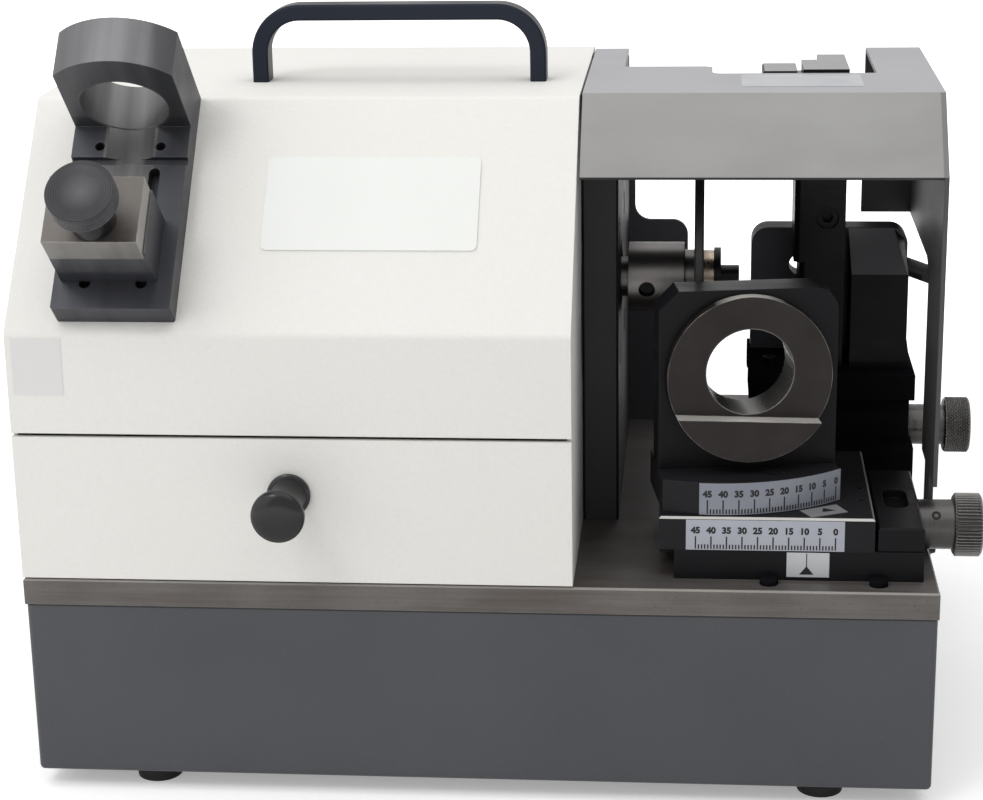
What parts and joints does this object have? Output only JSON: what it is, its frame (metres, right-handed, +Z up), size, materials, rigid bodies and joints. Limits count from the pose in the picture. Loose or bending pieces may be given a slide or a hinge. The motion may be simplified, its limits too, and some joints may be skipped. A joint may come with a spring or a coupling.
{
  "type": "tap grinder",
  "caption": "Bench grinder for re-sharpening screw taps: white housing with a drawer, sheet guard, cross slides and a swivelling chuck holder beside a thin wheel.",
  "frame": {"origin": "on the floor under the middle of the whole machine's box", "axes": "+X to the right along the spindle, -Y towards the user, +Z up"},
  "size_m": [0.318, 0.2562, 0.2572],
  "materials": {
    "box_paint": "satin dark grey paint",
    "plate_steel": "ground steel",
    "housing_white": "fine textured off-white powder coat",
    "name_white": "bare white plate",
    "guard_grey": "mid grey powder coat",
    "black_anodised": "black anodised",
    "index_steel": "blackened turned steel",
    "setter_steel": "dark ground steel",
    "stop_steel": "bare ground steel",
    "spindle_steel": "turned bright steel",
    "knob_steel": "knurled steel",
    "wheel_steel": "plated grinding disc",
    "flange_brass": "turned brass",
    "screw_black": "black oxide",
    "foot_rubber": "black rubber",
    "knob_black": "glossy black",
    "socket_black": "matte black",
    "rocker_black": "satin black",
    "tray_zinc": "plain sheet",
    "motor_metal": "cast and turned",
    "bearing_steel": "polished"
  },
  "bodies": {
    "base": {"base_box": "box_paint", "base_plate": "plate_steel", "rubber_feet": "foot_rubber", "housing_cover": "housing_white", "cover_bracket": "tray_zinc", "drawer_runners": "tray_zinc", "carry_handle": "black_anodised", "handle_screws": "screw_black", "name_plate": "name_white", "upright": "black_anodised", "rear_shield": "black_anodised", "guard_hood": "guard_grey", "m4_flat_screws": "screw_black", "m4_pan_screws": "screw_black", "m5_cap_screws": "screw_black", "motor_stator": "motor_metal", "motor_front_bell": "motor_metal", "motor_bearings": "bearing_steel", "slide_base": "black_anodised", "locating_pins": "screw_black", "end_block": "black_anodised", "rear_base": "black_anodised", "setter_body": "setter_steel", "setter_screws": "screw_black", "mains_inlet": "socket_black", "switch_bezel": "socket_black"},
    "drawer": {"drawer_front": "housing_white", "drawer_tray": "tray_zinc", "drawer_knob": "knob_black"},
    "front_screw": {"front_feed_screw": "knob_steel", "front_knob": "knob_steel"},
    "cross_slide": {"cross_slide": "black_anodised", "front_feed_nut": "flange_brass", "pivot_pin": "spindle_steel"},
    "swivel": {"swivel_base": "black_anodised", "swivel_lock_screw": "screw_black", "holder_screws": "screw_black", "holder_block": "black_anodised", "index_ring": "index_steel"},
    "rear_screw": {"rear_feed_screw": "knob_steel", "rear_knob": "knob_steel"},
    "rear_slide": {"rear_slide": "black_anodised", "rear_feed_nut": "flange_brass", "rear_plate": "black_anodised", "side_box": "black_anodised", "column": "black_anodised", "column_screw": "screw_black", "column_arm": "black_anodised"},
    "clamp_rod": {"clamp_lever": "screw_black"},
    "stop": {"stop_block": "setter_steel", "stop_cap": "stop_steel"},
    "thumb": {"thumb_screw": "setter_steel"},
    "spindle": {"motor_rotor": "spindle_steel", "wheel_arbor": "spindle_steel", "arbor_set_screw": "screw_black", "grinding_wheel": "wheel_steel", "wheel_flange": "flange_brass", "clamp_washer": "screw_black", "wheel_bolt": "screw_black"},
    "rocker": {"switch_rocker": "rocker_black"}
  },
  "joints": [
    {"name": "drawer_slide", "type": "slide", "parent": "base", "child": "drawer", "axis": [0, -1, 0], "range_m": [0, 0.105]},
    {"name": "front_knob_turn", "type": "hinge", "parent": "base", "child": "front_screw", "pos_m": [0.13595, -0.05371, 0.085], "axis": [1, 0, 0], "range_deg": [-195, 2405]},
    {"name": "cross_slide_feed", "type": "slide", "parent": "base", "child": "cross_slide", "axis": [1, 0, 0], "range_m": [-0.01, 0.0008]},
    {"name": "swivel_turn", "type": "hinge", "parent": "cross_slide", "child": "swivel", "pos_m": [0.06895, -0.02471, 0.1028], "axis": [0, 0, 1], "range_deg": [-8.5, 36.5]},
    {"name": "spindle_spin", "type": "hinge", "parent": "base", "child": "spindle", "pos_m": [0.04105, 0.00629, 0.1548], "axis": [1, 0, 0], "continuous": true},
    {"name": "rear_knob_turn", "type": "hinge", "parent": "base", "child": "rear_screw", "pos_m": [0.13695, 0.01029, 0.0998], "axis": [1, 0, 0], "range_deg": [-472, 1804]},
    {"name": "rear_slide_feed", "type": "slide", "parent": "base", "child": "rear_slide", "axis": [1, 0, 0], "range_m": [-0.0075, 0.00195]},
    {"name": "clamp_rod_turn", "type": "hinge", "parent": "rear_slide", "child": "clamp_rod", "pos_m": [0.13575, 0.02329, 0.155], "axis": [0.9397, 0, -0.342], "range_deg": [-60, 60]},
    {"name": "stop_slide", "type": "slide", "parent": "base", "child": "stop", "axis": [0, 0.6665, 0.7455], "range_m": [-0.002, 0.018]},
    {"name": "thumb_turn", "type": "hinge", "parent": "stop", "child": "thumb", "pos_m": [-0.12325, -0.10967, 0.20197], "axis": [0, -0.7455, 0.6665], "range_deg": [-30, 360]},
    {"name": "switch_rock", "type": "hinge", "parent": "base", "child": "rocker", "pos_m": [0.04045, 0.12299, 0.0398], "axis": [1, 0, 0], "range_deg": [-16, 0]}
  ],
  "couplings": [
    {"joint": "front_knob_turn", "follows": "cross_slide_feed", "rad_per_m": -4188.8},
    {"joint": "rear_knob_turn", "follows": "rear_slide_feed", "rad_per_m": -4188.8}
  ]
}
